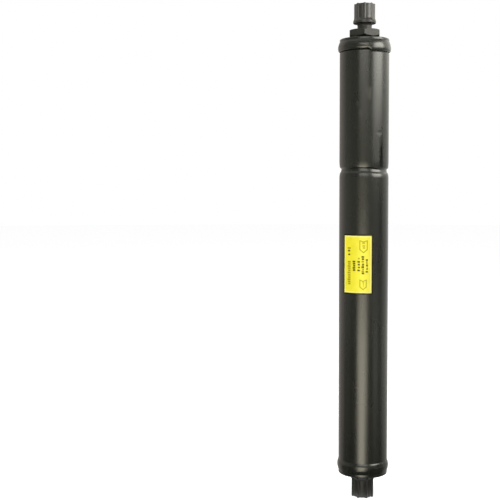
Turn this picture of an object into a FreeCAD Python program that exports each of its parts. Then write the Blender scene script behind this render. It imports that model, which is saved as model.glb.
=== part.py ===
import FreeCAD, Part
import math
import os
from collections import namedtuple

# Filter drier for a refrigerant line: a slim steel bottle that stands on end, inlet up, with the
# drying charge held above a rolled groove and a strainer over the outlet.
# Millimetres and degrees, +Z along the bottle towards the inlet. The origin is on the axis,
# half way along the plain wall below the groove, where a strap clamps the bottle.

# Shell tube
TUBE_RADIUS = 25.0
TUBE_WALL = 1.5
PLAIN_WALL = 289.0
DRYING_WALL = 108.8

# Rolled groove, measured on the outer skin
GROOVE_DEPTH = 2.27
GROOVE_HALF_WIDTH = 9.0
GROOVE_ROOT_RADIUS = 2.5

# Girth welds: how far each bead stands proud, half its width, how deep both melt in, and the
# flats that make up the crown
INLET_BEAD_HEIGHT = 1.85
INLET_BEAD_HALF_WIDTH = 5.75
OUTLET_BEAD_HEIGHT = 1.4
OUTLET_BEAD_HALF_WIDTH = 4.9
WELD_DEPTH = 1.1
BEAD_FLATS = 4

# End caps: a rim in line with the tube, and a spigot that slides into it
INLET_RIM = 8.45
OUTLET_RIM = 9.45
END_THICKNESS = 3.5
END_EDGE = 0.8
SPIGOT_LENGTH = 6.0
SPIGOT_CLEARANCE = 0.15
SPIGOT_WALL = 2.2
SPIGOT_LEAD = 0.8
FLOOR_CORNER = 1.5

# What both line fittings share
FITTING_SPIGOT_RADIUS = 10.6
FITTING_SPIGOT_PROUD = 4.0
FITTING_CLEARANCE = 0.1
NOSE_LAND = 1.0
INLET_HEX_ACROSS_FLATS = 30.0
INLET_HEX_HEIGHT = 7.0
HEX_CHAMFER_ANGLE = 30.0
HEX_CORNERS = 6

# Fillet weld round the foot of each fitting
FITTING_WELD_LEG = 1.45

# Dust caps: ribbed moulded plastic over the threaded stems, with a loose sealing disc inside
THREAD_CLEARANCE = 0.3
CAP_CEILING = 1.3
CAP_RIBS = 8
RIB_HEIGHT = 0.85
RIB_ROUND = 1.5
RIB_END_RISE = 0.4
RIB_END_BEVEL = 0.5
CAP_END_BEVEL = 0.8
SKIRT_FLARE = 0.9
SKIRT_LEAD = 0.25
SEAL_THICKNESS = 1.5
SEAL_CLEARANCE = 0.3

# Label: a film on the plain wall, its width taken along the skin, its middle left of the front
LABEL_BOTTOM = 29.4
LABEL_HEIGHT = 57.6
LABEL_WIDTH = 29.6
LABEL_MIDDLE_ANGLE = -15.0
LABEL_GLUE = 0.02
LABEL_FILM = 0.06

# Drying charge, from the groove up to the inlet end cap
CHARGE_CLEARANCE = 0.25
PLATE_THICKNESS = 1.5
PLATE_HOLE_RADIUS = 3.4
PLATE_HOLE_PITCH = 12.0
PLATE_MARGIN = 2.5
SCREEN_THICKNESS = 0.4
SCREEN_PITCH = 6.0
SCREEN_WIRE = 1.5
FELT_THICKNESS = 6.0
SPRING_LENGTH = 22.0
SPRING_RADIUS = 15.5
SPRING_WIRE = 2.0
SPRING_TURNS = 4
SPRING_BENDS_PER_TURN = 16

# Strainer over the outlet
STRAINER_WALL = 0.6
STRAINER_HEIGHT = 30.0
STRAINER_FLANGE = 3.0
STRAINER_CLEARANCE = 0.1
STRAINER_END_TAPER = 3.0
STRAINER_SLOTS = 6
STRAINER_SLOT_WIDTH = 4.0
STRAINER_SLOT_LENGTH = 14.0

# Lengths of a port are measured outwards from the face of its end cap
Port = namedtuple("Port", "thread_radius pitch bore_radius shoulder_radius shoulder_height "
                          "thread_start thread_length cap_radius cap_rim skirt_height rib_angle")

INLET = Port(thread_radius=7.94, pitch=1.411, bore_radius=3.57, shoulder_radius=12.65,
             shoulder_height=2.4, thread_start=14.15, thread_length=15.8, cap_radius=10.55,
             cap_rim=16.1, skirt_height=2.2, rib_angle=0.0)
OUTLET = Port(thread_radius=9.53, pitch=1.5875, bore_radius=5.16, shoulder_radius=13.0,
              shoulder_height=1.5, thread_start=2.6, thread_length=16.1, cap_radius=11.9,
              cap_rim=2.3, skirt_height=1.2, rib_angle=-31.3)

# What follows from the sizes above
TUBE_BORE = TUBE_RADIUS - TUBE_WALL
OUTLET_WELD_Z = -PLAIN_WALL / 2 - OUTLET_BEAD_HALF_WIDTH
OUTLET_END_Z = OUTLET_WELD_Z - OUTLET_RIM
GROOVE_Z = PLAIN_WALL / 2 + GROOVE_HALF_WIDTH
INLET_WELD_Z = GROOVE_Z + GROOVE_HALF_WIDTH + DRYING_WALL + INLET_BEAD_HALF_WIDTH
INLET_END_Z = INLET_WELD_Z + INLET_RIM
CHARGE_RADIUS = TUBE_BORE - CHARGE_CLEARANCE

# Two arcs that meet tangent fill the groove's depth and half width
GROOVE_SHOULDER_RADIUS = (
    (GROOVE_HALF_WIDTH**2 + GROOVE_DEPTH**2) / (2 * GROOVE_DEPTH) - GROOVE_ROOT_RADIUS
)

Vector = FreeCAD.Vector
ORIGIN = Vector(0, 0, 0)
UP = Vector(0, 0, 1)
ACROSS = Vector(1, 0, 0)


def polar(radius, angle, z=0.0):
    """A point at an angle in degrees to the right of the front, seen from the front."""
    turn = math.radians(angle)
    return Vector(radius * math.sin(turn), -radius * math.cos(turn), z)


def outline(corners):
    """A closed outline in the XZ plane through corners (r, z)."""
    points = [Vector(r, 0, z) for r, z in corners]
    return Part.makePolygon(points + points[:1])


def turned(wire, angle=360):
    """The solid that a closed outline in the XZ plane sweeps round the axis."""
    return Part.Face(wire).revolve(ORIGIN, UP, angle)


def disc(radius, bottom, height):
    return Part.makeCylinder(radius, height, Vector(0, 0, bottom))


def at_inlet(shape):
    """From a port's own lengths to the bottle's inlet end."""
    shape.translate(Vector(0, 0, INLET_END_Z))
    return shape


def at_outlet(shape):
    """From a port's own lengths to the bottle's outlet end, turned to point down."""
    shape.rotate(ORIGIN, ACROSS, 180)
    shape.translate(Vector(0, 0, OUTLET_END_Z))
    return shape


def one_solid(shape):
    return shape.removeSplitter().Solids[0]


def groove_edges(inset):
    """The groove's skin from its lower lip to its upper one, at a depth inside the outer skin."""
    shoulder = GROOVE_SHOULDER_RADIUS - inset
    root = GROOVE_ROOT_RADIUS + inset
    shoulder_centre = TUBE_RADIUS - GROOVE_SHOULDER_RADIUS
    root_centre = TUBE_RADIUS - GROOVE_DEPTH + GROOVE_ROOT_RADIUS
    turn = 2 * math.atan(GROOVE_DEPTH / GROOVE_HALF_WIDTH)

    def on_shoulder(angle, side):
        r = shoulder_centre + shoulder * math.cos(angle)
        return Vector(r, 0, GROOVE_Z + side * (GROOVE_HALF_WIDTH - shoulder * math.sin(angle)))

    lower = Part.Arc(on_shoulder(0, -1), on_shoulder(turn / 2, -1), on_shoulder(turn, -1))
    bottom = Part.Arc(on_shoulder(turn, -1), Vector(root_centre - root, 0, GROOVE_Z),
                      on_shoulder(turn, 1))
    upper = Part.Arc(on_shoulder(turn, 1), on_shoulder(turn / 2, 1), on_shoulder(0, 1))
    return [lower.toShape(), bottom.toShape(), upper.toShape()]


def groove_seat(radius):
    """Height at which a disc of this radius comes to rest on the ridge inside the groove."""
    shoulder = GROOVE_SHOULDER_RADIUS - TUBE_WALL
    reach = radius - (TUBE_RADIUS - GROOVE_SHOULDER_RADIUS)
    return GROOVE_Z + GROOVE_HALF_WIDTH - math.sqrt(shoulder**2 - reach**2)


def shell_tube():
    """Seamed tube with the groove rolled in, melted to a bevel under both girth welds."""
    outer = groove_edges(0)
    inner = groove_edges(TUBE_WALL)
    outer_low, outer_high = outer[0].Vertexes[0].Point, outer[-1].Vertexes[-1].Point
    inner_low, inner_high = inner[0].Vertexes[0].Point, inner[-1].Vertexes[-1].Point
    bevelled = TUBE_RADIUS - WELD_DEPTH
    upper_end = [
        outer_high,
        Vector(TUBE_RADIUS, 0, INLET_WELD_Z - INLET_BEAD_HALF_WIDTH),
        Vector(bevelled, 0, INLET_WELD_Z),
        Vector(TUBE_BORE, 0, INLET_WELD_Z),
        inner_high,
    ]
    lower_end = [
        inner_low,
        Vector(TUBE_BORE, 0, OUTLET_WELD_Z),
        Vector(bevelled, 0, OUTLET_WELD_Z),
        Vector(TUBE_RADIUS, 0, OUTLET_WELD_Z + OUTLET_BEAD_HALF_WIDTH),
        outer_low,
    ]
    edges = outer + inner
    for run in (upper_end, lower_end):
        edges += [Part.LineSegment(a, b).toShape() for a, b in zip(run, run[1:])]
    return turned(Part.Wire(Part.__sortEdges__(edges)))


def end_cap(rim, bead_half_width):
    """Pressed end: a rim that carries on the tube's skin, and a spigot inside the tube."""
    hole = FITTING_SPIGOT_RADIUS + FITTING_CLEARANCE
    spigot = TUBE_BORE - SPIGOT_CLEARANCE
    inside = spigot - SPIGOT_WALL
    return turned(outline([
        (hole, 0),
        (TUBE_RADIUS - END_EDGE, 0),
        (TUBE_RADIUS, -END_EDGE),
        (TUBE_RADIUS, -rim + bead_half_width),
        (TUBE_RADIUS - WELD_DEPTH, -rim),
        (spigot, -rim),
        (spigot, -rim - SPIGOT_LENGTH + SPIGOT_LEAD),
        (spigot - SPIGOT_LEAD, -rim - SPIGOT_LENGTH),
        (inside, -rim - SPIGOT_LENGTH),
        (inside, -END_THICKNESS - FLOOR_CORNER),
        (inside - FLOOR_CORNER, -END_THICKNESS),
        (hole, -END_THICKNESS),
    ]))


def girth_weld(z, height, half_width):
    """Bead melted into tube and rim as a shallow V, and crowned along an arc above the skin."""
    radius = (half_width**2 + height**2) / (2 * height)
    reach = math.asin(half_width / radius)
    crown = []
    for i in range(BEAD_FLATS + 1):
        turn = reach * (2 * i / BEAD_FLATS - 1)
        crown.append((TUBE_RADIUS + height - radius * (1 - math.cos(turn)),
                      z + radius * math.sin(turn)))
    return turned(outline(crown + [(TUBE_RADIUS - WELD_DEPTH, z)]))


def nose_start(port):
    return port.thread_start + port.thread_length


def nose_tip(port):
    """The flare nose is a 45 degree cone down to a narrow land round the bore."""
    return nose_start(port) + relief_radius(port) - port.bore_radius - NOSE_LAND


def relief_radius(port):
    return port.thread_radius - port.pitch / 2


def fitting_body(port):
    """Turned part of a fitting: spigot through the end cap, shoulder, relief, thread and nose."""
    relief = relief_radius(port)
    run_out = port.thread_radius - relief
    return turned(outline([
        (port.bore_radius, -END_THICKNESS - FITTING_SPIGOT_PROUD),
        (FITTING_SPIGOT_RADIUS, -END_THICKNESS - FITTING_SPIGOT_PROUD),
        (FITTING_SPIGOT_RADIUS, 0),
        (port.shoulder_radius, 0),
        (port.shoulder_radius, port.shoulder_height),
        (relief, port.shoulder_height),
        (relief, port.thread_start),
        (port.thread_radius, port.thread_start + run_out),
        (port.thread_radius, nose_start(port) - run_out),
        (relief, nose_start(port)),
        (port.bore_radius + NOSE_LAND, nose_tip(port)),
        (port.bore_radius, nose_tip(port)),
    ]))


def wrench_hexagon(port):
    """Six flats with a corner to the front, both faces chamfered, open for the turned body."""
    flat = INLET_HEX_ACROSS_FLATS / 2
    corner = flat / math.cos(math.pi / HEX_CORNERS)
    bottom = port.shoulder_height
    top = bottom + INLET_HEX_HEIGHT
    chamfer = (corner - flat) * math.tan(math.radians(HEX_CHAMFER_ANGLE))
    corners = [polar(corner, 360 * i / HEX_CORNERS, bottom) for i in range(HEX_CORNERS + 1)]
    prism = Part.Face(Part.makePolygon(corners)).extrude(UP * INLET_HEX_HEIGHT)
    inner = port.bore_radius
    chamfered = turned(outline([
        (inner, bottom),
        (flat, bottom),
        (corner, bottom + chamfer),
        (corner, top - chamfer),
        (flat, top),
        (inner, top),
    ]))
    return prism.common(chamfered)


def inlet_fitting():
    return one_solid(fitting_body(INLET).fuse(wrench_hexagon(INLET)))


def outlet_fitting():
    return fitting_body(OUTLET)


def fitting_weld(port):
    """Small mitre fillet between the fitting's shoulder and the end cap's face."""
    return turned(outline([
        (port.shoulder_radius, 0),
        (port.shoulder_radius + FITTING_WELD_LEG, 0),
        (port.shoulder_radius, FITTING_WELD_LEG),
    ]))


def cap_bore(port):
    return port.thread_radius + THREAD_CLEARANCE


def cap_ceiling(port):
    return nose_tip(port) + SEAL_THICKNESS + 2 * SEAL_CLEARANCE


def cap_ribs(port, bottom, end):
    """Half-round grip ribs, which stand a little proud of the closed end."""
    envelope = turned(outline([
        (port.thread_radius, bottom),
        (port.cap_radius, bottom),
        (port.cap_radius, end - RIB_END_BEVEL),
        (port.cap_radius - RIB_END_BEVEL, end),
        (port.thread_radius, end),
    ]))
    bars = []
    for i in range(CAP_RIBS):
        foot = polar(port.cap_radius - RIB_ROUND, port.rib_angle + 360 * i / CAP_RIBS, bottom)
        bars.append(Part.makeCylinder(RIB_ROUND, end - bottom, foot))
    return [bar.common(envelope) for bar in bars]


def dust_cap(port):
    """Moulded cap: closed end, ribbed side and a flared skirt at the rim."""
    bore = cap_bore(port)
    core = port.cap_radius - RIB_HEIGHT
    skirt = port.cap_radius + SKIRT_FLARE
    rim, end = port.cap_rim, cap_ceiling(port) + CAP_CEILING
    flare_top = rim + port.skirt_height + SKIRT_FLARE + RIB_HEIGHT
    solid = turned(outline([
        (0, rim),
        (skirt - SKIRT_LEAD, rim),
        (skirt, rim + port.skirt_height),
        (core, flare_top),
        (core, end - RIB_END_RISE - CAP_END_BEVEL),
        (core - CAP_END_BEVEL, end - RIB_END_RISE),
        (0, end - RIB_END_RISE),
    ]))
    solid = solid.fuse(cap_ribs(port, rim + port.skirt_height, end))
    hollow = Part.makeCylinder(bore, cap_ceiling(port) - rim, Vector(0, 0, rim))
    return one_solid(solid.cut(hollow))


def cap_seal(port):
    """Loose disc between the cap's closed end and the flare nose."""
    return disc(cap_bore(port) - SEAL_CLEARANCE, nose_tip(port) + SEAL_CLEARANCE, SEAL_THICKNESS)


def label():
    wrap = math.degrees(LABEL_WIDTH / TUBE_RADIUS)
    back = TUBE_RADIUS + LABEL_GLUE
    face = back + LABEL_FILM
    top = LABEL_BOTTOM + LABEL_HEIGHT
    film = turned(outline([
        (back, LABEL_BOTTOM), (face, LABEL_BOTTOM), (face, top), (back, top),
    ]), wrap)
    film.rotate(ORIGIN, UP, LABEL_MIDDLE_ANGLE - wrap / 2 - 90)
    return film


def perforated_plate(bottom):
    """Round plate with holes on a triangular grid."""
    holes = []
    row_pitch = PLATE_HOLE_PITCH * math.sqrt(3) / 2
    limit = CHARGE_RADIUS - PLATE_MARGIN - PLATE_HOLE_RADIUS
    rows = int(limit / row_pitch)
    for row in range(-rows, rows + 1):
        shift = PLATE_HOLE_PITCH / 2 if row % 2 else 0
        count = int(limit / PLATE_HOLE_PITCH) + 1
        for column in range(-count, count + 1):
            x, y = column * PLATE_HOLE_PITCH + shift, row * row_pitch
            if math.hypot(x, y) <= limit:
                foot = Vector(x, y, bottom)
                holes.append(Part.makeCylinder(PLATE_HOLE_RADIUS, PLATE_THICKNESS, foot))
    return disc(CHARGE_RADIUS, bottom, PLATE_THICKNESS).cut(holes)


def mesh_screen(bottom):
    """Square-mesh screen that keeps the beads off the lower plate's holes."""
    opening = SCREEN_PITCH - SCREEN_WIRE
    limit = CHARGE_RADIUS - SCREEN_PITCH
    count = int(limit / SCREEN_PITCH)
    openings = []
    for row in range(-count, count + 1):
        for column in range(-count, count + 1):
            x, y = column * SCREEN_PITCH, row * SCREEN_PITCH
            if math.hypot(x, y) <= limit:
                corner = Vector(x - opening / 2, y - opening / 2, bottom)
                openings.append(Part.makeBox(opening, opening, SCREEN_THICKNESS, corner))
    return disc(CHARGE_RADIUS, bottom, SCREEN_THICKNESS).cut(openings)


def compression_spring(bottom, length):
    """Coil of square wire in short mitred runs, with both ends ground flat."""
    bends = SPRING_TURNS * SPRING_BENDS_PER_TURN
    path = Part.makePolygon([
        polar(SPRING_RADIUS, 360 * i / SPRING_BENDS_PER_TURN, bottom + length * i / bends)
        for i in range(bends + 1)
    ])
    half = SPRING_WIRE / 2
    corners = [(-half, -half), (half, -half), (half, half), (-half, half), (-half, -half)]
    section = Part.makePolygon([polar(SPRING_RADIUS + r, 0, bottom + z) for r, z in corners])
    sweep = Part.BRepOffsetAPI.MakePipeShell(path)
    sweep.setTransitionMode(1)
    sweep.add(section)
    sweep.build()
    sweep.makeSolid()
    return one_solid(sweep.shape().common(disc(SPRING_RADIUS + SPRING_WIRE, bottom, length)))


def outlet_strainer():
    """Slotted cup pushed over the fitting's spigot, with a flange on the end cap's floor."""
    inner = FITTING_SPIGOT_RADIUS + STRAINER_CLEARANCE
    outer = inner + STRAINER_WALL
    floor = END_THICKNESS
    top = floor + STRAINER_HEIGHT
    cup = turned(outline([
        (inner, floor),
        (outer + STRAINER_FLANGE, floor),
        (outer + STRAINER_FLANGE, floor + STRAINER_WALL),
        (outer, floor + STRAINER_WALL),
        (outer, top - STRAINER_END_TAPER),
        (outer - STRAINER_END_TAPER, top),
        (0, top),
        (0, top - STRAINER_WALL),
        (inner - STRAINER_END_TAPER, top - STRAINER_WALL),
        (inner, top - STRAINER_END_TAPER - STRAINER_WALL),
    ]))
    slot_foot = (floor + FITTING_SPIGOT_PROUD + top - STRAINER_END_TAPER - STRAINER_SLOT_LENGTH) / 2
    slot = Part.makeBox(STRAINER_SLOT_WIDTH, outer, STRAINER_SLOT_LENGTH,
                        Vector(-STRAINER_SLOT_WIDTH / 2, 0, slot_foot))
    for i in range(STRAINER_SLOTS):
        punch = slot.copy()
        punch.rotate(ORIGIN, UP, 360 * i / STRAINER_SLOTS)
        cup = cup.cut(punch)
    cup.translate(Vector(0, 0, OUTLET_END_Z))
    return one_solid(cup)


def drying_charge():
    """The stack from the groove's ridge up to the inlet end cap, each piece on the last."""
    lower_plate = groove_seat(CHARGE_RADIUS)
    screen = lower_plate + PLATE_THICKNESS
    lower_felt = screen + SCREEN_THICKNESS
    bed = lower_felt + FELT_THICKNESS
    spring = INLET_END_Z - END_THICKNESS - SPRING_LENGTH
    upper_plate = spring - PLATE_THICKNESS
    upper_felt = upper_plate - FELT_THICKNESS
    return {
        "lower_perforated_plate": perforated_plate(lower_plate),
        "mesh_screen": mesh_screen(screen),
        "lower_felt_pad": disc(CHARGE_RADIUS, lower_felt, FELT_THICKNESS),
        "desiccant_bed": disc(CHARGE_RADIUS, bed, upper_felt - bed),
        "upper_felt_pad": disc(CHARGE_RADIUS, upper_felt, FELT_THICKNESS),
        "upper_perforated_plate": perforated_plate(upper_plate),
        "compression_spring": compression_spring(spring, SPRING_LENGTH),
    }


def filter_drier():
    """Every piece by name."""
    pieces = {
        "shell_tube": shell_tube(),
        "inlet_end_cap": at_inlet(end_cap(INLET_RIM, INLET_BEAD_HALF_WIDTH)),
        "outlet_end_cap": at_outlet(end_cap(OUTLET_RIM, OUTLET_BEAD_HALF_WIDTH)),
        "inlet_girth_weld": girth_weld(INLET_WELD_Z, INLET_BEAD_HEIGHT, INLET_BEAD_HALF_WIDTH),
        "outlet_girth_weld": girth_weld(OUTLET_WELD_Z, OUTLET_BEAD_HEIGHT,
                                        OUTLET_BEAD_HALF_WIDTH),
        "inlet_fitting": at_inlet(inlet_fitting()),
        "outlet_fitting": at_outlet(outlet_fitting()),
        "outlet_strainer": outlet_strainer(),
        "label": label(),
    }
    for name, port, place in (("inlet", INLET, at_inlet), ("outlet", OUTLET, at_outlet)):
        pieces[name + "_fitting_weld"] = place(fitting_weld(port))
        pieces[name + "_dust_cap"] = place(dust_cap(port))
        pieces[name + "_cap_seal"] = place(cap_seal(port))
    pieces.update(drying_charge())
    return pieces


os.makedirs("parts", exist_ok=True)
for piece_name, piece in filter_drier().items():
    piece.exportStep("parts/" + piece_name + ".step")
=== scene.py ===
import math
import bmesh
import bpy
from collections import namedtuple
from mathutils import Matrix, Vector, noise


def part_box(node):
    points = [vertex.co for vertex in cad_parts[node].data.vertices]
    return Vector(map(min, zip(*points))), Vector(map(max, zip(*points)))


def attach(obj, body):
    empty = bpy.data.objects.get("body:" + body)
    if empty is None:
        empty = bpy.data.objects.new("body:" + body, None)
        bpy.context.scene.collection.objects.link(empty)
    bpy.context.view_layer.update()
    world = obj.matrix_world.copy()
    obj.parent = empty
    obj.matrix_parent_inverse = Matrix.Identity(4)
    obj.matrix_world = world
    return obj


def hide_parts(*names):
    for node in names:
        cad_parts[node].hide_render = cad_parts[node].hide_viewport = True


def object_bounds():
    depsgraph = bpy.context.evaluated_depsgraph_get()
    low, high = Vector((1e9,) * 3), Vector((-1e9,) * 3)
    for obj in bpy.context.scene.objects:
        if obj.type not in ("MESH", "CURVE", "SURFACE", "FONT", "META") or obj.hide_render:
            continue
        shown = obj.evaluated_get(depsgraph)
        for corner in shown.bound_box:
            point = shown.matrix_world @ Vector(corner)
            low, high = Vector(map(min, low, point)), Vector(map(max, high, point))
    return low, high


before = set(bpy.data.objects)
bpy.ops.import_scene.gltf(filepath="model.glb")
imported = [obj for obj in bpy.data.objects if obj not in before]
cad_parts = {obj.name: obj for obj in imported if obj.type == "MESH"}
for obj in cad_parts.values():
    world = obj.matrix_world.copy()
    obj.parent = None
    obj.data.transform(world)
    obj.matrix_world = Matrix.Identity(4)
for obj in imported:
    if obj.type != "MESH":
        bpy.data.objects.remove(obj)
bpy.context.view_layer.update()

# A black painted filter drier that stands on its outlet cap on a white table.
# Outlines and sizes below are in millimetres and degrees; the bottle's axis is Z and its front is
# -Y. An angle is measured from the front, positive to the right as seen from the front. The studio
# and the camera are in metres.
MM = 0.001
FULL_TURN = 2 * math.pi

# How finely the turned pieces are divided, how near two points merge, and a length that is too
# small to see
BODY_STEPS = 240
CAP_STEPS = 320
THREAD_STEPS = 144
SECTORS = 8
ROUND_SEGMENTS = 8
SHARP_ANGLE = 32
MERGE_DISTANCE = 0.001
HAIR = 0.01

# Shell tube
TUBE_WALL = 1.5
SKIN_ROW = 1.5

# Rolled groove; each corner is its depth, its height from the groove's middle and the cut of its
# rounding. To the right of the front the roll dips: it goes down over one span of angles and comes
# back over another, and the skin moves with it as far as its reach.
GROOVE_Z = 153.5
GROOVE = (
    (0.0, -6.2, 2.2), (0.58, -3.55, 0.6), (1.65, -1.75, 0.3), (2.2, 0.75, 0.12), (0.5, 2.4, 0.12),
    (0.0, 5.7, 2.6),
)
GROOVE_DIP = 0.9
GROOVE_REACH = 12.0
DIP_DOWN = (10, 25)
DIP_BACK = (80, 90)

# Girth welds: how far each bead reaches below and above its joint, how full its crown is on those
# two sides, and the angle where its end runs over its start and how far the toe hangs there
INLET_BEAD = (3.7, 5.75)
INLET_BEAD_CROWN = (4.6, 2.1)
INLET_BEAD_STEP = (10.0, 1.9)
OUTLET_BEAD = (6.0, 5.0)
OUTLET_BEAD_CROWN = (2.0, 2.2)
OUTLET_BEAD_STEP = (200.0, 0.4)
BEAD_ROW = 0.4
BEAD_WAVE = 0.17
WAVE_LENGTH = 7.0
WAVE_SQUASH = 3.5
STEP_TURN = 5.0
SAG_FADE = 1.5
SAG_REACH = 1.5
WELD_DEPTH = 1.1
UNDERCUT = 1.1
UNDERCUT_RUN = 1.2
UNDERCUT_ROUND = 0.3
UNDERCUT_LAP = 0.1

# End caps
INLET_END_ROUND = 0.9
OUTLET_END_ROUND = 0.9
END_THICKNESS = 3.5
SPIGOT_GAP = 0.15
SPIGOT_WALL = 2.2
SPIGOT_LENGTH = 6.0
SPIGOT_LEAD = 0.8
FLOOR_CORNER = 1.5
FITTING_SPIGOT = 10.6
FITTING_GAP = 0.1
FILLET_ROWS = 4
FILLET_EDGE = 0.05
FILLET_WAVE = 0.12
FILLET_LUMPS = 1.8

# Line fittings: what the inlet and outlet share, then each port's own sizes
HEX_ACROSS_FLATS = 30.0
HEX_HEIGHT = 7.0
HEX_CORNERS = 6
HEX_CHAMFER = 30.0
HEX_EDGE_ROUND = 0.8
HEX_EDGE_DROP = 1.0
HEX_STEPS = 384
HEX_SHARP = 22
HEX_LAP = 0.5
NECK_ROUND = 1.4
SHOULDER_ROUND = 0.8
SPIGOT_PROUD = 4.0
SPIGOT_ROUND = 0.6
RELIEF_ROUND = 0.6
OUTLET_NECK_ROUND = 0.4
NOSE_LAND = 1.0
NOSE_ROUND = 0.25
INLET_STEM_ROW = 0.2
OUTLET_STEM_ROW = 0.25

# Threads: shares and lengths in pitches
THREAD_FLAT = 0.125
THREAD_DEPTH = 0.61
THREAD_LEAD_IN = 1.5
THREAD_RUN_OUT = 1.2

Port = namedtuple("Port", "thread_radius pitch bore_radius shoulder_radius shoulder_height "
                          "thread_start thread_length cap_radius cap_rim skirt_height "
                          "rib_height rib_angle")
INLET = Port(thread_radius=7.94, pitch=1.411, bore_radius=3.57, shoulder_radius=12.65,
             shoulder_height=2.4, thread_start=14.15, thread_length=15.8, cap_radius=10.55,
             cap_rim=16.1, skirt_height=2.2, rib_height=0.75, rib_angle=0.0)
OUTLET = Port(thread_radius=9.53, pitch=1.5875, bore_radius=5.16, shoulder_radius=13.0,
              shoulder_height=1.5, thread_start=2.6, thread_length=16.1, cap_radius=11.9,
              cap_rim=2.3, skirt_height=1.2, rib_height=1.3, rib_angle=-21.5)

# Dust caps
CAP_ROW = 0.8
CAP_RIBS = 8
RIB_ROUND = 1.5
RIB_END_RISE = 0.4
RIB_FOOT = 0.6
RIB_BLEND = 2.2
CAP_END_FLAT = 3.0
CAP_END_BAND = 2.4
CAP_END_ROUND = 0.5
CAP_EDGE = 0.05
CAP_WALL_GAP = 0.3
CAP_CEILING = 1.3
CEILING_ROUND = 0.3
SKIRT_FLARE = 1.15
FLARE_ROUND = 1.2
SKIRT_ROUND = 0.5
SKIRT_LEAD = 0.25
RIM_ROUND = 0.2
SEAL_THICKNESS = 1.5
SEAL_GAP = 0.3

# Label
LABEL_WIDTH = 29.6
LABEL_MIDDLE = -15.0
LABEL_CORNER = 0.8
LABEL_CORNER_SEGMENTS = 5
LABEL_GLUE = 0.02
LABEL_FILM = 0.06
INK = 0.015
INK_GRIP = 0.004
INK_STEP = 0.8
SLICE_GRACE = 0.0001
# Painted light round the label: the width of the dark band of shadow and of the pale band of
# highlight, and how far in the pale band starts
EDGE_LINE = 1.3
EDGE_HIGHLIGHT_INSET = 0.05

# Colours: paint, plastic, film and CAD finishes from their darkest part to their lightest, and the
# beads from their middles to the painted shade in the gaps between them
PAINT = ((0.0105, 0.0115, 0.0085), (0.0135, 0.0140, 0.0105))
PLASTIC = ((0.017, 0.0165, 0.014), (0.031, 0.0305, 0.027))
FILM = ((0.88, 0.78, 0.008), (0.94, 0.84, 0.016))
RUBBER = ((0.02, 0.02, 0.02), (0.035, 0.034, 0.032))
PLATE_STEEL = ((0.42, 0.42, 0.43), (0.58, 0.58, 0.6))
STRAINER_BRASS = ((0.6, 0.43, 0.16), (0.78, 0.6, 0.28))
SPRING_STEEL = ((0.4, 0.4, 0.41), (0.62, 0.62, 0.63))
FELT = ((0.55, 0.53, 0.48), (0.78, 0.76, 0.7))
DRYING_BEADS_AND_GAP_SHADE = ((0.72, 0.64, 0.5), (0.22, 0.18, 0.13))
FILM_UNDER_INK = (0.90, 0.79, 0.04)
# Painted shadow: the dark band on the paint round the label's edge
EDGE_SHADOW_INK = (0.008, 0.006, 0.0)
# Painted highlight: the pale band just inside the label's edge
EDGE_HIGHLIGHT_INK = (1.0, 0.94, 0.26)
ARROW_INK = (0.42, 0.38, 0.0)
FAINT_INK = (0.55, 0.48, 0.02)
DARK_INK = (0.075, 0.07, 0.0)
PALE_INK = (0.40, 0.31, 0.0)

# Gloss and grain; the grain's sizes and depths are in millimetres
SCUFF_DULLNESS = 0.35
INK_SHEEN = 0.12
METAL_GRAIN = 0.02
DRYING_BEAD = 2.4
DRYING_BEAD_RELIEF = 0.8

# Label print, in millimetres from the label's middle. Two arrows point down: left and right side,
# and the heights of top, shoulder and tip. Columns of plain bars are in place of words: left and
# right side, and the height of each bar.
ARROW_LINE = 0.95
ARROWS = ((2.45, 10.75, 24.6, 14.9, 11.3), (2.6, 9.9, -14.9, -22.8, -25.8))
ARROW_NOTCH = 1.4
BAR_TALL = 1.7
BAR_RAGGED = 0.35
BAR_STARTS = 3
DARK_BARS = (
    (-4.7, -1.7, (2.9, 0.8, -1.3, -3.5, -5.7)),
    (0.4, 3.0, (2.7, -0.1, -2.9, -5.9)),
    (4.55, 7.25, (7.7, 5.4, 0.2, -2.7, -8.9)),
    (8.75, 11.05, (4.6, -1.0, -4.4, -7.2)),
    (-10.3, -7.5, (13.7, 9.9)),
)
PALE_BARS = (
    (-10.6, -7.0, (16.3, 2.5, 0.3, -1.9, -4.1, -6.3, -8.5, -10.8, -13.0, -15.2, -17.4, -19.5)),
    (1.3, 2.7, (6.0,)),
    (4.65, 7.15, (2.9, -0.9, -5.0, -7.0)),
    (9.05, 10.65, (2.6, 0.8, -2.8)),
)
FAINT_BARS = (
    (5.0, 8.2, (21.5, 18.8, 16.7)),
    (5.6, 7.0, (-17.5, -19.5, -21.5)),
)

# Dents and scuffs in the wall above the groove: angle, height, half width and half height, depth,
# and how far the gloss is rubbed off, or polished up where that is below zero. Their edges are
# ragged, with lumps of one size.
Dent = namedtuple("Dent", "angle z across along depth scuff")
DENTS = (
    Dent(11.6, 231.0, 3.2, 5.0, 0.06, 1.0),
    Dent(14.0, 225.5, 3.0, 2.0, 0.03, 0.5),
    Dent(-15.4, 219.0, 2.2, 2.4, 0.04, 0.5),
    Dent(-7.5, 209.8, 2.4, 2.2, 0.04, 0.6),
    Dent(38.0, 190.0, 4.0, 1.5, 0.12, 0.5),
    Dent(44.5, 168.0, 2.8, 18.0, 0.04, -0.45),
)
DENTS_START = 3.0
DENT_EDGE = 1.2
DENT_RAGGED = 0.6
DENT_LUMPS = 2.2


def in_mm(node):
    """A node's lowest and highest corner in millimetres."""
    low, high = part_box(node)
    return low / MM, high / MM


TUBE_LOW, TUBE_HIGH = in_mm("shell_tube")
TUBE_RADIUS = TUBE_HIGH.x
INLET_FACE = in_mm("inlet_end_cap")[1].z
OUTLET_FACE = in_mm("outlet_end_cap")[0].z


# Shapes

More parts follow.
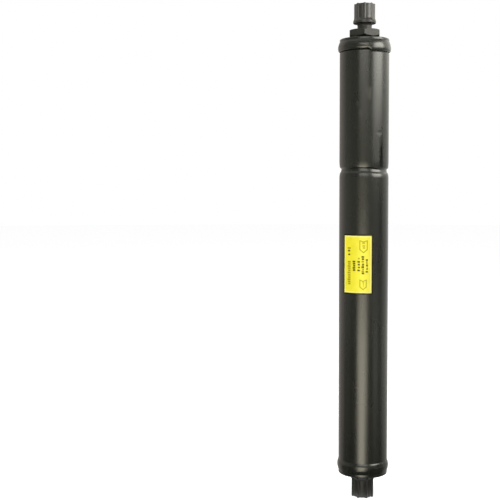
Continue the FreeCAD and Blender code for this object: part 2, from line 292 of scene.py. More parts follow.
def turned(corners, closed=True, steps=BODY_STEPS, row=None, beyond=0.0):
    """Turns an outline round the bottle's axis.

    A corner is (radius, height), or (radius, height, cut) where a rounding starts that far from
    the corner along both sides. Runs longer than row are divided evenly, if no part of them is
    nearer to the axis than beyond.
    """
    mesh = bmesh.new()
    points = [mesh.verts.new((corner[0] * MM, 0, corner[1] * MM)) for corner in corners]
    pairs = list(zip(points, points[1:]))
    if closed:
        pairs.append((points[-1], points[0]))
    for pair in pairs:
        mesh.edges.new(pair)
    for point, corner in zip(points, corners):
        if len(corner) > 2:
            bmesh.ops.bevel(mesh, geom=[point], offset=corner[2] * MM, offset_type="OFFSET",
                            segments=ROUND_SEGMENTS, profile=0.5, affect="VERTICES", material=-1)
    if row:
        for edge in list(mesh.edges):
            cuts = int(edge.calc_length() / (row * MM))
            if cuts and min(vert.co.x for vert in edge.verts) >= beyond * MM:
                bmesh.ops.subdivide_edges(mesh, edges=[edge], cuts=cuts)
    sector = FULL_TURN / SECTORS
    bmesh.ops.spin(mesh, geom=mesh.verts[:] + mesh.edges[:], cent=(0, 0, 0), axis=(0, 0, 1),
                   angle=sector, steps=steps // SECTORS)
    bmesh.ops.spin(mesh, geom=mesh.verts[:] + mesh.edges[:] + mesh.faces[:], cent=(0, 0, 0),
                   axis=(0, 0, 1), angle=FULL_TURN - sector, steps=SECTORS - 1,
                   use_duplicate=True)
    bmesh.ops.remove_doubles(mesh, verts=mesh.verts, dist=MERGE_DISTANCE * MM)
    bmesh.ops.recalc_face_normals(mesh, faces=mesh.faces)
    return mesh


def angle_of(point):
    """Degrees to the right of the front."""
    return math.degrees(math.atan2(point.x, -point.y))


def push_out(vert, distance):
    """Moves a vertex away from the axis by a distance in millimetres."""
    reach = Vector((vert.co.x, vert.co.y, 0))
    vert.co += reach.normalized() * distance * MM


def smooth_step(value):
    """Goes from 0 to 1 as the value does, and is level at both ends."""
    value = min(max(value, 0.0), 1.0)
    return value * value * (3 - 2 * value)


def round_noise(point, size):
    """Seamless noise from -1 to 1 at a point, with lumps of about that size in millimetres."""
    return noise.noise(point / (size * MM))


def new_object(name, mesh, finish):
    """Puts a mesh into the scene as an object with a finish."""
    data = bpy.data.meshes.new(name)
    mesh.to_mesh(data)
    mesh.free()
    data.materials.append(finish)
    piece = bpy.data.objects.new(name, data)
    bpy.context.scene.collection.objects.link(piece)
    return piece


def make_piece(name, mesh, finish, body, nodes=(), sharp=SHARP_ANGLE):
    """Makes a piece that rides on a body and stands for the nodes."""
    piece = new_object(name, mesh, finish)
    piece.data.shade_smooth()
    piece.data.set_sharp_from_angle(angle=math.radians(sharp))
    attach(piece, body)
    if nodes:
        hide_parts(*nodes)


# Vessel

def groove_corners(inset):
    """The groove's skin from its lower lip to its upper one, at a depth inside the outer skin.

    The roll left a gentle flank on both sides and a small ledge above its deepest line.
    """
    return [(TUBE_RADIUS - inset - depth, GROOVE_Z + height, cut) for depth, height, cut in GROOVE]


def groove_dip(point):
    """How far the roll ran down at a point, in millimetres."""
    angle = angle_of(point)
    down, back = (smooth_step((angle - start) / span) for start, span in (DIP_DOWN, DIP_BACK))
    near = smooth_step(1 - abs(point.z / MM - GROOVE_Z) / GROOVE_REACH)
    return GROOVE_DIP * near * (down - back)


def dent_at(point):
    """How far the dents push the skin in at a point, in millimetres, and how scuffed it is."""
    depth = scuff = 0.0
    for dent in DENTS:
        across = math.radians(angle_of(point) - dent.angle) * TUBE_RADIUS / dent.across
        along = (point.z / MM - dent.z) / dent.along
        ragged = 1 + DENT_RAGGED * round_noise(point, DENT_LUMPS)
        share = smooth_step(DENT_EDGE - math.hypot(across, along) * ragged)
        depth += dent.depth * share
        scuff += dent.scuff * share
    return depth, scuff


def sag_at(point, step):
    """How far the bead's lower toe hangs, in millimetres: most just past its step."""
    turn = (angle_of(point) - step[0]) % 360
    return step[1] * min(turn / STEP_TURN, 1 - turn / 360)


def shell_tube(finish):
    """Tube with the groove rolled in, undercut along the inlet bead's lower toe."""
    low_toe = in_mm("outlet_girth_weld")[1].z
    high_toe = TUBE_HIGH.z - INLET_BEAD[0]
    melted = TUBE_RADIUS - WELD_DEPTH
    bore = TUBE_RADIUS - TUBE_WALL
    mid_wall = TUBE_RADIUS - TUBE_WALL / 2
    skin = [(melted, TUBE_LOW.z), (TUBE_RADIUS, low_toe)] + groove_corners(0)
    skin += [
        (TUBE_RADIUS, high_toe - UNDERCUT_RUN * UNDERCUT, UNDERCUT_ROUND),
        (TUBE_RADIUS - UNDERCUT, high_toe + UNDERCUT_LAP),
        (melted, TUBE_HIGH.z),
    ]
    inside = [(bore, TUBE_HIGH.z)] + groove_corners(TUBE_WALL)[::-1] + [(bore, TUBE_LOW.z)]
    mesh = turned(skin + inside, row=SKIN_ROW, beyond=mid_wall)
    scuffed = mesh.verts.layers.float.new("scuff")
    for vert in mesh.verts:
        height = vert.co.z / MM
        if abs(height - GROOVE_Z) < GROOVE_REACH:
            vert.co.z -= groove_dip(vert.co) * MM
        if vert.co.xy.length > mid_wall * MM and height > GROOVE_Z + DENTS_START:
            depth, vert[scuffed] = dent_at(vert.co)
            push_out(vert, -depth)
            near = smooth_step(2 - abs(height - high_toe) / SAG_REACH)
            vert.co.z -= sag_at(vert.co, INLET_BEAD_STEP) * near * MM
    make_piece("painted_shell", mesh, finish, "vessel", ["shell_tube"])


def girth_weld(node, reach, crown, step, finish):
    """Bead with the waves of a turned weld, and a step where its end runs over its start."""
    low, high = in_mm(node)
    joint = (low.z + high.z) / 2
    proud = high.x - TUBE_RADIUS - BEAD_WAVE
    below, above = reach
    mesh = turned([(TUBE_RADIUS - WELD_DEPTH, joint), (TUBE_RADIUS, joint - below),
                   (TUBE_RADIUS, joint + above)], row=BEAD_ROW)
    for vert in mesh.verts:
        if vert.co.xy.length < (TUBE_RADIUS - HAIR) * MM:
            continue
        height = vert.co.z / MM - joint
        share = height / (above if height > 0 else below)
        wave = Vector((vert.co.x, vert.co.y, WAVE_SQUASH * vert.co.z))
        waves = BEAD_WAVE * round_noise(wave, WAVE_LENGTH)
        push_out(vert, (proud + waves) * (1 - abs(share) ** crown[height > 0]))
        vert.co.z -= sag_at(vert.co, step) * min(1.0, SAG_FADE * (1 - share)) * MM
    make_piece(node.replace("girth_weld", "weld_bead"), mesh, finish, "vessel",
               [node])


def end_cap(node, weld, face, side, edge_round, finish):
    """Pressed end with a rolled edge: its rim carries on the tube's skin."""
    weld_low, weld_high = in_mm(weld)
    toe = weld_high.z if side > 0 else weld_low.z
    root = (weld_low.z + weld_high.z) / 2
    hole = FITTING_SPIGOT + FITTING_GAP
    spigot = TUBE_RADIUS - TUBE_WALL - SPIGOT_GAP
    inside = spigot - SPIGOT_WALL
    foot = root - side * SPIGOT_LENGTH
    floor = face - side * END_THICKNESS
    mesh = turned([
        (hole, face), (TUBE_RADIUS, face, edge_round), (TUBE_RADIUS, toe),
        (TUBE_RADIUS - WELD_DEPTH, root), (spigot, root), (spigot, foot, SPIGOT_LEAD),
        (inside, foot), (inside, floor, FLOOR_CORNER), (hole, floor),
    ])
    make_piece(node.replace("end_cap", "pressed_end"), mesh, finish, "vessel",
               [node])


def fitting_weld(node, face, side, finish):
    """Thin fillet that runs round the foot of a fitting, uneven under the paint."""
    low, high = in_mm(node)
    outer = high.x
    leg = high.z - low.z
    mesh = turned([(outer - leg, face), (outer, face), (outer - leg, face + side * leg)],
                  row=leg / FILLET_ROWS)
    for vert in mesh.verts:
        out = vert.co.xy.length / MM - (outer - leg)
        up = abs(vert.co.z / MM - face)
        if out > FILLET_EDGE and up > FILLET_EDGE:
            push_out(vert, FILLET_WAVE * round_noise(vert.co, FILLET_LUMPS) - FILLET_WAVE)
    make_piece(node.replace("fitting_weld", "fillet"), mesh, finish, "vessel",
               [node])


# Line fittings

def relief_radius(port):
    return port.thread_radius - port.pitch / 2


def nose_start(port):
    return port.thread_start + port.thread_length


def nose_tip(port):
    return nose_start(port) + relief_radius(port) - port.bore_radius - NOSE_LAND


def thread_depth(port, height, angle):
    """Depth of the thread's groove below its crest, at a height from the end cap's face."""
    turn = (height / port.pitch - angle / 360) % 1.0
    rise = abs(2 * turn - 1)
    flat = 2 * THREAD_FLAT
    groove = min(max((rise - flat) / (1 - 2 * flat), 0), 1)
    start = smooth_step((height - port.thread_start) / (THREAD_LEAD_IN * port.pitch))
    finish = smooth_step((nose_start(port) - height) / (THREAD_RUN_OUT * port.pitch))
    return THREAD_DEPTH * port.pitch * groove * start * finish


def stem_outline(port, above):
    """A fitting from its spigot up, its outline starting at the shoulder's outer corner."""
    relief = relief_radius(port)
    run_out = port.thread_radius - relief
    return [
        (port.bore_radius, -END_THICKNESS - SPIGOT_PROUD),
        (FITTING_SPIGOT, -END_THICKNESS - SPIGOT_PROUD, SPIGOT_ROUND),
        (FITTING_SPIGOT, 0),
        (port.shoulder_radius, 0),
        (port.shoulder_radius, port.shoulder_height, SHOULDER_ROUND),
    ] + above + [
        (relief, port.thread_start, RELIEF_ROUND),
        (port.thread_radius, port.thread_start + run_out),
        (port.thread_radius, nose_start(port) - run_out),
        (relief, nose_start(port)),
        (port.bore_radius + NOSE_LAND, nose_tip(port), NOSE_ROUND),
        (port.bore_radius, nose_tip(port), NOSE_ROUND),
    ]


def place(mesh, face, side):
    """Moves a port's mesh from its own heights to its end of the bottle."""
    if side < 0:
        bmesh.ops.rotate(mesh, cent=(0, 0, 0), matrix=Matrix.Rotation(math.pi, 3, "X"),
                         verts=mesh.verts)
    bmesh.ops.translate(mesh, vec=(0, 0, face * MM), verts=mesh.verts)


def cut_thread(mesh, port):
    """Sinks the thread's groove into a stem, clear of its bore."""
    for vert in mesh.verts:
        height = vert.co.z / MM
        outside = vert.co.xy.length / MM > port.bore_radius + NOSE_LAND / 2
        if outside and port.thread_start < height < nose_start(port):
            push_out(vert, -thread_depth(port, height, angle_of(vert.co)))


def hexagon_radius(angle):
    """Distance from the axis to the side of a hexagon with a rounded corner to the front."""
    sector = 360 / HEX_CORNERS
    off = abs(math.radians((angle + sector / 2) % sector - sector / 2))
    half = math.pi / HEX_CORNERS
    centre = (HEX_ACROSS_FLATS / 2 - HEX_EDGE_ROUND) / math.cos(half)
    ends = math.atan2(HEX_EDGE_ROUND * math.sin(half),
                      centre + HEX_EDGE_ROUND * math.cos(half))
    if off < ends:
        side = centre * math.sin(off)
        return centre * math.cos(off) + math.sqrt(HEX_EDGE_ROUND**2 - side**2)
    return HEX_ACROSS_FLATS / 2 / math.cos(half - off)


def wrench_hexagon(neck, bottom, top):
    """Six flats turned down to a cone at both faces, with a fillet up to the neck."""
    flat = HEX_ACROSS_FLATS / 2
    corner = flat / math.cos(math.pi / HEX_CORNERS)
    slope = math.tan(math.radians(HEX_CHAMFER))
    inner = neck - HEX_LAP
    mesh = turned([
        (inner, bottom), (flat, bottom), (corner, bottom + HEX_EDGE_DROP),
        (corner, top - HEX_EDGE_DROP), (flat, top),
        (neck, top, NECK_ROUND), (neck, top + 2 * NECK_ROUND), (inner, top + 2 * NECK_ROUND),
    ], steps=HEX_STEPS)
    for vert in mesh.verts:
        radius = vert.co.xy.length / MM
        if radius > flat + HAIR:
            side = hexagon_radius(angle_of(vert.co))
            fall = (side - flat) * slope
            push_out(vert, side - radius)
            vert.co.z = (top - fall if vert.co.z / MM > (top + bottom) / 2 else bottom + fall) * MM
    return mesh


def inlet_fitting(finish):
    port = INLET
    neck = relief_radius(port)
    stem = turned(stem_outline(port, [(neck, port.shoulder_height)]), row=INLET_STEM_ROW,
                  steps=THREAD_STEPS)
    cut_thread(stem, port)
    place(stem, INLET_FACE, 1)
    hexagon = wrench_hexagon(neck, port.shoulder_height, port.shoulder_height + HEX_HEIGHT)
    place(hexagon, INLET_FACE, 1)
    make_piece("inlet_hexagon", hexagon, finish, "vessel", ["inlet_fitting"],
               sharp=HEX_SHARP)
    make_piece("inlet_stem", stem, finish, "vessel", ["inlet_fitting"])


def outlet_fitting(finish):
    port = OUTLET
    neck = relief_radius(port)
    stem = turned(stem_outline(port, [(neck, port.shoulder_height, OUTLET_NECK_ROUND)]),
                  row=OUTLET_STEM_ROW, steps=THREAD_STEPS)
    cut_thread(stem, port)
    place(stem, OUTLET_FACE, -1)
    make_piece("outlet_stem", stem, finish, "vessel", ["outlet_fitting"])


# Dust caps

def rib_lift(port, angle):
    """How far the ribs stand above the cap's round body at an angle."""
    sector = 360 / CAP_RIBS
    off = math.radians((angle - port.rib_angle + sector / 2) % sector - sector / 2)
    centre = port.cap_radius - RIB_ROUND
    side = centre * math.sin(off)
    if abs(side) >= RIB_ROUND:
        return 0.0
    reach = centre * math.cos(off) + math.sqrt(RIB_ROUND**2 - side**2)
    return max(reach - (port.cap_radius - port.rib_height), 0.0)


def dust_cap(node, port, face, side, finish, body):
    """Moulded cap: closed end, ribbed side and a flared skirt at the rim."""
    bore = port.thread_radius + CAP_WALL_GAP
    core = port.cap_radius - port.rib_height
    skirt = port.cap_radius + SKIRT_FLARE
    rim = port.cap_rim
    ceiling = nose_tip(port) + SEAL_THICKNESS + 2 * SEAL_GAP
    face_height = ceiling + CAP_CEILING - RIB_END_RISE
    skirt_top = rim + port.skirt_height
    flare_top = skirt_top + SKIRT_FLARE + port.rib_height
    mesh = turned([
        (0, face_height), (core - CAP_END_FLAT, face_height), (core, face_height, CAP_END_ROUND),
        (core, flare_top, FLARE_ROUND), (skirt, skirt_top, SKIRT_ROUND),
        (skirt - SKIRT_LEAD, rim, RIM_ROUND), (bore, rim, RIM_ROUND),
        (bore, ceiling, CEILING_ROUND), (0, ceiling),
    ], closed=False, steps=CAP_STEPS, row=CAP_ROW)
    for vert in mesh.verts:
        height = vert.co.z / MM
        radius = vert.co.xy.length / MM
        inside = radius < bore + RIM_ROUND and height < face_height - CAP_EDGE
        if inside or height <= skirt_top:
            continue
        up = smooth_step((height - skirt_top) / (SKIRT_FLARE + RIB_FOOT))
        edge = smooth_step((radius - core + RIB_BLEND) / RIB_BLEND)
        lift = rib_lift(port, angle_of(vert.co)) * edge
        push_out(vert, lift * up)
        if radius > core - CAP_END_BAND and height > face_height - CAP_END_ROUND:
            vert.co.z += lift / port.rib_height * RIB_END_RISE * MM
    place(mesh, face, side)
    make_piece(node.replace("dust_cap", "ribbed_cap"), mesh, finish, body, [node])


# Label

def wrap(mesh, radius):
    """Lays a flat shape round the bottle: x runs along the skin from the label's middle."""
    for vert in mesh.verts:
        turn = math.radians(LABEL_MIDDLE) + vert.co.x / (radius * MM)
        reach = radius * MM - vert.co.y
        vert.co.x = reach * math.sin(turn)
        vert.co.y = -reach * math.cos(turn)


def flat_shape(mesh, corners):
    """A flat polygon on the label through corners (across, height) from its middle."""
    return mesh.faces.new([mesh.verts.new((x * MM, 0, z * MM)) for x, z in corners])


def slice_upright(mesh, half_width, step):
    """Upright cuts, so that the shape can bend round the bottle."""
    count = int(half_width / step)
    for i in range(-count, count + 1):
        bmesh.ops.bisect_plane(mesh, geom=mesh.verts[:] + mesh.edges[:] + mesh.faces[:],
                               dist=SLICE_GRACE * MM, plane_co=(i * step * MM, 0, 0),
                               plane_no=(1, 0, 0))


def lay_on(mesh, thickness, radius, height):
    """Gives flat shapes a thickness and wraps them round the bottle at a radius."""
    bmesh.ops.solidify(mesh, geom=mesh.faces[:], thickness=thickness * MM)
    front = min(vert.co.y for vert in mesh.verts)
    bmesh.ops.translate(mesh, vec=(0, -front - thickness * MM, height * MM), verts=mesh.verts)
    wrap(mesh, radius)
    bmesh.ops.recalc_face_normals(mesh, faces=mesh.faces)


def label_film(finish):
    low, high = in_mm("label")
    tall = (high.z - low.z) / 2
    wide = LABEL_WIDTH / 2
    mesh = bmesh.new()
    flat_shape(mesh, [(-wide, -tall), (wide, -tall), (wide, tall), (-wide, tall)])
    bmesh.ops.bevel(mesh, geom=mesh.verts[:], offset=LABEL_CORNER * MM, offset_type="OFFSET",
                    segments=LABEL_CORNER_SEGMENTS, profile=0.5, affect="VERTICES", material=-1)
    slice_upright(mesh, wide, INK_STEP)
    lay_on(mesh, LABEL_FILM, TUBE_RADIUS + LABEL_GLUE, (low.z + high.z) / 2)
    make_piece("yellow_label", mesh, finish, "vessel", ["label"])


def printed(name, finish, shapes, under=LABEL_GLUE + LABEL_FILM):
    """Lays a thin coat of ink over what lies under it; shapes draws it flat, round the middle."""
    low, high = in_mm("label")
    mesh = bmesh.new()
    shapes(mesh)
    slice_upright(mesh, LABEL_WIDTH, INK_STEP)
    lay_on(mesh, INK, TUBE_RADIUS + under - INK_GRIP, (low.z + high.z) / 2)
    make_piece(name, mesh, finish, "vessel")


def bars(columns):
    """Columns of bars whose left ends are ragged."""
    half = BAR_TALL / 2

    def draw(mesh):
        for left, right, heights in columns:
            for i, height in enumerate(heights):
                start = left + BAR_RAGGED * (i % BAR_STARTS)
                flat_shape(mesh, [(start, height - half), (right, height - half),
                                  (right, height + half), (start, height + half)])
    return draw


def outlined(mesh, corners, line):
    """The outline of a flat polygon, as wide inwards as its line."""
    face = flat_shape(mesh, corners)
    mesh.normal_update()
    bmesh.ops.inset_individual(mesh, faces=[face], thickness=line * MM, use_even_offset=True)
    bmesh.ops.delete(mesh, geom=[face], context="FACES_ONLY")


def arrows(mesh):
    """Outlines of two broad arrows that point down."""
    for left, right, top, shoulder, tip in ARROWS:
        middle = (left + right) / 2
        outlined(mesh, [(left, top), (left, shoulder), (middle, tip), (right, shoulder),
                        (right, top), (middle, top - ARROW_NOTCH)], ARROW_LINE)


def frame_line(inset, line):
    """A line round the label, inset from the film's edge; a negative inset lies outside it. It
    draws the painted shadow outside the edge and the painted highlight inside it.
    """
    low, high = in_mm("label")

    def draw(mesh):
        wide = LABEL_WIDTH / 2 - inset
        tall = (high.z - low.z) / 2 - inset
        outlined(mesh, [(-wide, -tall), (wide, -tall), (wide, tall), (-wide, tall)], line)
    return draw


# Finishes

def new_finish(name):
    """A finish with its tree of nodes, its shader and the object's own coordinates."""
    finish = bpy.data.materials.new(name)
    finish.use_nodes = True
    tree = finish.node_tree
    where = tree.nodes.new("ShaderNodeTexCoord").outputs["Object"]
    return finish, tree, tree.nodes["Principled BSDF"], where


def speckle(tree, where, size, detail=3.0, stretch=(1, 1, 1)):
    """Noise with lumps of about that size in millimetres."""
    mapping = tree.nodes.new("ShaderNodeMapping")
    mapping.inputs["Scale"].default_value = stretch
    texture = tree.nodes.new("ShaderNodeTexNoise")
    texture.inputs["Scale"].default_value = 1 / (size * MM)
    texture.inputs["Detail"].default_value = detail
    tree.links.new(where, mapping.inputs["Vector"])
    tree.links.new(mapping.outputs["Vector"], texture.inputs["Vector"])
    return texture.outputs["Fac"]


def between(tree, factor, low, high, start=0.3, end=0.7):
    """A number that goes from low to high as the factor goes from start to end."""
    spread = tree.nodes.new("ShaderNodeMapRange")
    spread.inputs["From Min"].default_value = start
    spread.inputs["From Max"].default_value = end
    spread.inputs["To Min"].default_value = low
    spread.inputs["To Max"].default_value = high
    tree.links.new(factor, spread.inputs["Value"])
    return spread.outputs["Result"]


def shades(tree, factor, dark, light, start=0.3, end=0.7):
    """A colour from dark to light as the factor goes from start to end."""
    ramp = tree.nodes.new("ShaderNodeValToRGB")
    ramp.color_ramp.elements[0].position = start
    ramp.color_ramp.elements[0].color = (*dark, 1)
    ramp.color_ramp.elements[1].position = end
    ramp.color_ramp.elements[1].color = (*light, 1)
    tree.links.new(factor, ramp.inputs["Fac"])
    return ramp.outputs["Color"]


def coat(tree, shader, factor, colours, smooth, rough):
    """Colour and roughness that both change with a factor."""
    tree.links.new(shades(tree, factor, *colours), shader.inputs["Base Color"])
    tree.links.new(between(tree, factor, smooth, rough), shader.inputs["Roughness"])


def relief(tree, shader, height, depth):
    """Raises and sinks the surface by a depth in millimetres."""
    bump = tree.nodes.new("ShaderNodeBump")
    bump.inputs["Distance"].default_value = depth * MM
    tree.links.new(height, bump.inputs["Height"])
    tree.links.new(bump.outputs["Normal"], shader.inputs["Normal"])


def black_paint(name, peel, rough):
    """Thick black enamel with a little green in it, uneven gloss and rubbed marks."""
    finish, tree, shader, where = new_finish(name)
    patches = speckle(tree, where, size=26, stretch=(1, 1, 0.4))
    tree.links.new(shades(tree, patches, *PAINT), shader.inputs["Base Color"])
    rubbed = tree.nodes.new("ShaderNodeAttribute")
    rubbed.attribute_name = "scuff"
    sheen = between(tree, patches, rough - 0.02, rough + 0.03)
    dulled = tree.nodes.new("ShaderNodeMath")
    dulled.operation = "MULTIPLY_ADD"
    tree.links.new(rubbed.outputs["Fac"], dulled.inputs[0])
    dulled.inputs[1].default_value = SCUFF_DULLNESS
    tree.links.new(sheen, dulled.inputs[2])
    tree.links.new(dulled.outputs[0], shader.inputs["Roughness"])
    relief(tree, shader, speckle(tree, where, size=2.2, detail=2), depth=peel)
    return finish


def cap_plastic():
    """Moulded black plastic, scuffed along its ribs."""
    finish, tree, shader, where = new_finish("moulded_cap_plastic")
    streaks = speckle(tree, where, size=3, stretch=(1, 1, 0.25))
    coat(tree, shader, streaks, PLASTIC, smooth=0.31, rough=0.39)
    relief(tree, shader, speckle(tree, where, size=0.9), depth=0.01)
    return finish


def yellow_film():
    finish, tree, shader, where = new_finish("yellow_label_film")
    coat(tree, shader, speckle(tree, where, size=9), FILM, smooth=0.35, rough=0.5)
    relief(tree, shader, speckle(tree, where, size=2.5), depth=0.01)
    return finish


def ink(name, colour, wear=0.2):
    """Thin ink that lets the film show through in places."""
    finish, tree, shader, where = new_finish(name)
    faded = tuple((1 - wear) * part + wear * film for part, film in zip(colour, FILM_UNDER_INK))
    coat(tree, shader, speckle(tree, where, size=0.8), (colour, faded), smooth=0.4, rough=0.55)
    shader.inputs["Specular IOR Level"].default_value = INK_SHEEN
    return finish


def metal(name, colours, size, rough):
    """Bare metal with a fine grain and duller patches."""
    finish, tree, shader, where = new_finish(name)
    shader.inputs["Metallic"].default_value = 1.0
    grain = speckle(tree, where, size)
    coat(tree, shader, grain, colours, rough - 0.06, rough + 0.08)
    relief(tree, shader, grain, METAL_GRAIN)
    return finish


def dull(name, colours, size, rough, depth):
    """Felt and rubber: no shine, a coarse or fine surface."""
    finish, tree, shader, where = new_finish(name)
    grain = speckle(tree, where, size, detail=5)
    coat(tree, shader, grain, colours, rough - 0.05, rough + 0.05)
    relief(tree, shader, grain, depth)
    return finish


def bead_finish():
    """Packed drying beads: round cells with painted shade darkening the gaps between them."""
    finish, tree, shader, where = new_finish("drying_beads")
    cells = tree.nodes.new("ShaderNodeTexVoronoi")
    cells.inputs["Scale"].default_value = 1 / (DRYING_BEAD * MM)
    tree.links.new(where, cells.inputs["Vector"])
    near = cells.outputs["Distance"]
    # Painted shade: the colour darkens from each bead's middle into the gaps between beads
    colour = shades(tree, near, *DRYING_BEADS_AND_GAP_SHADE, start=0.25, end=0.75)
    tree.links.new(colour, shader.inputs["Base Color"])
    tree.links.new(between(tree, near, 0.7, 0.9), shader.inputs["Roughness"])
    relief(tree, shader, between(tree, near, 1, 0, 0, 1), DRYING_BEAD_RELIEF)
    return finish


def refinish(finish, *nodes):
    """Gives CAD nodes that stay as they are a finish of their own."""
    for name in nodes:
        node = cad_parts[name]
        if not node.material_slots:
            node.data.materials.append(finish)
        for slot in node.material_slots:
            slot.material = finish


# Studio

# White table and surroundings, in metres: both look brighter to the rays that are seen than to the
# rays that light the bottle
TABLE_RADIUS = 8.0
TABLE_SIDES = 64
TABLE_GAP = 0.0001
TABLE_WHITE = (0.8, 0.8, 0.8)
TABLE_GLOW = 0.7
AMBIENT = 0.35

# Cards that the gloss mirrors, in metres and degrees: how far off they stand, how finely they are
# bent, how far a bright one lies before or above the last, and where those on the table start
CARD_RADIUS = 1.3
CARD_TURN = 4
CARD_STEP = 0.02
CARD_LIFT = 0.001
TABLE_START = 0.02
BRIGHT_START = 0.085

# Their colours
NEUTRAL = (1.0, 1.0, 0.92)
WARM = (1.0, 0.91, 0.72)
AMBER = (1.0, 0.94, 0.76)
CREAM = (1.0, 0.98, 0.89)

# Cards on the walls: two angles from the front, two heights, the strengths at the heights in
# WALL_REACH and the colour
WALL_REACH = (-0.18, 0.43)
WALL_CARDS = (
    ("wall_left_rim", -170, -138, -0.18, 1.6, (0.65, 0.62), (1.0, 0.93, 0.86)),
    ("wall_left_edge", -138, -98, -0.18, 1.6, (0.85, 0.85), (1.0, 0.91, 0.83)),
    ("wall_left_side", -98, -62, -0.18, 1.6, (0.68, 0.40), (1.0, 0.98, 0.86)),
    ("wall_left_front", -62, -40, -0.18, 1.6, (0.42, 0.24), (0.93, 1.0, 0.84)),
    ("wall_front", -40, 18, -0.18, 1.6, (0.08, 0.08), NEUTRAL),
    ("wall_right_gap", 18, 46, -0.18, 1.6, (0.36, 0.36), NEUTRAL),
    ("wall_right_front", 46, 70, -0.18, 1.6, (0.20, 0.20), NEUTRAL),
    ("wall_right_side", 70, 96, -0.18, 1.6, (0.03, 0.03), NEUTRAL),
    ("wall_right_edge", 96, 128, -0.18, 1.6, (0.39, 1.25), NEUTRAL),
    ("wall_right_rim", 128, 170, -0.18, 1.6, (0.92, 1.1), NEUTRAL),
    ("wall_back", 170, 190, -0.18, 1.6, (0.05, 0.05), NEUTRAL),
)
BRIGHT_WALLS = (
    ("low_light", -27, 20, -0.18, 0.02, (1.4, 1.4), WARM),
    ("low_core", -17, 10, -0.18, 0.02, (4.0, 4.0), WARM),
    ("top_light", -22, 20, 0.415, 0.95, (4.6, 4.6), CREAM),
    ("side_glow", 46, 70, 0.275, 0.368, (1.5, 1.5), CREAM),
    ("side_light", 42, 91, 0.368, 0.95, (10.0, 10.0), CREAM),
    ("side_core", 58, 84, 0.375, 0.95, (12.0, 12.0), CREAM),
    ("side_edge", 91, 150, 0.375, 0.95, (1.9, 1.9), CREAM),
)

# Cards on the table: two angles, then the strengths at the distances in TABLE_REACH and the colour
TABLE_REACH = (0.15, 1.2)
TABLE_CARDS = (
    ("table_left_rim", -170, -138, (0.80, 0.80), (1.0, 0.93, 0.86)),
    ("table_left_edge", -138, -98, (0.62, 0.75), (1.0, 0.91, 0.83)),
    ("table_left_side", -98, -62, (0.14, 0.28), (1.0, 1.0, 0.85)),
    ("table_front", -62, 46, (0.02, 0.06), (1.0, 1.0, 0.8)),
    ("table_right_front", 46, 70, (0.0, 1.8), NEUTRAL),
    ("table_right_side", 70, 96, (0.0, 0.62), NEUTRAL),
    ("table_right_edge", 96, 128, (0.45, 1.1), NEUTRAL),
    ("table_right_rim", 128, 170, (0.6, 1.1), NEUTRAL),
    ("table_back", 170, 190, (0.05, 0.05), NEUTRAL),
)
BRIGHT_TABLES = (
    ("table_light", -28, 20, (0.5, 8.1), AMBER),
    ("table_core", -18, 8, (6.4, 8.2), AMBER),
)

# Soft lamps: angle from the front, distance, height, side, power, and the height that they aim at
LAMPS = (
    ("key_lamp", 50, 1.5, 1.3, 0.9, 18, 0.1),
    ("fill_lamp", -60, 1.5, 1.3, 0.9, 22, 0.1),
)


def glowing(name, across, reach, strengths, colour):
    """A glow that changes evenly from one strength to another.

    It does so over a reach of heights on a wall, or of distances across a table.
    """
    finish, tree, shader, where = new_finish(name)
    tree.nodes.remove(shader)
    measure = tree.nodes.new("ShaderNodeVectorMath")
    tree.links.new(where, measure.inputs[0])
    if across:
        measure.operation = "LENGTH"
    else:
        measure.operation = "DOT_PRODUCT"
        measure.inputs[1].default_value = (0, 0, 1)
    level = between(tree, measure.outputs["Value"], *strengths, *reach)
    glow = tree.nodes.new("ShaderNodeEmission")
    glow.inputs["Color"].default_value = (*colour, 1)
    tree.links.new(level, glow.inputs["Strength"])
    tree.links.new(glow.outputs["Emission"], tree.nodes["Material Output"].inputs["Surface"])
    return finish


def seen_rays(tree):
    """One for rays from the camera and for those that gloss or glass sends on."""
    path = tree.nodes.new("ShaderNodeLightPath")
    first = tree.nodes.new("ShaderNodeMath")
    first.operation = "MAXIMUM"
    tree.links.new(path.outputs["Is Camera Ray"], first.inputs[0])
    tree.links.new(path.outputs["Is Glossy Ray"], first.inputs[1])
    both = tree.nodes.new("ShaderNodeMath")
    both.operation = "MAXIMUM"
    tree.links.new(first.outputs[0], both.inputs[0])
    tree.links.new(path.outputs["Is Transmission Ray"], both.inputs[1])
    return both.outputs[0]


def white_table(height):
    """Matt table that glows for the rays that are seen."""
    finish = bpy.data.materials.new("table_white")
    finish.use_nodes = True
    tree = finish.node_tree
    tree.nodes.remove(tree.nodes["Principled BSDF"])
    matt = tree.nodes.new("ShaderNodeBsdfDiffuse")
    matt.inputs["Color"].default_value = (*TABLE_WHITE, 1)
    glow = tree.nodes.new("ShaderNodeEmission")
    level = tree.nodes.new("ShaderNodeMath")
    level.operation = "MULTIPLY"
    level.inputs[1].default_value = TABLE_GLOW
    tree.links.new(seen_rays(tree), level.inputs[0])
    tree.links.new(level.outputs[0], glow.inputs["Strength"])
    both = tree.nodes.new("ShaderNodeAddShader")
    tree.links.new(matt.outputs["BSDF"], both.inputs[0])
    tree.links.new(glow.outputs["Emission"], both.inputs[1])
    tree.links.new(both.outputs[0], tree.nodes["Material Output"].inputs["Surface"])
    mesh = bmesh.new()
    bmesh.ops.create_circle(mesh, cap_ends=True, segments=TABLE_SIDES, radius=TABLE_RADIUS)
    bmesh.ops.translate(mesh, vec=(0, 0, height), verts=mesh.verts)
    table = new_object("white_table", mesh, finish)


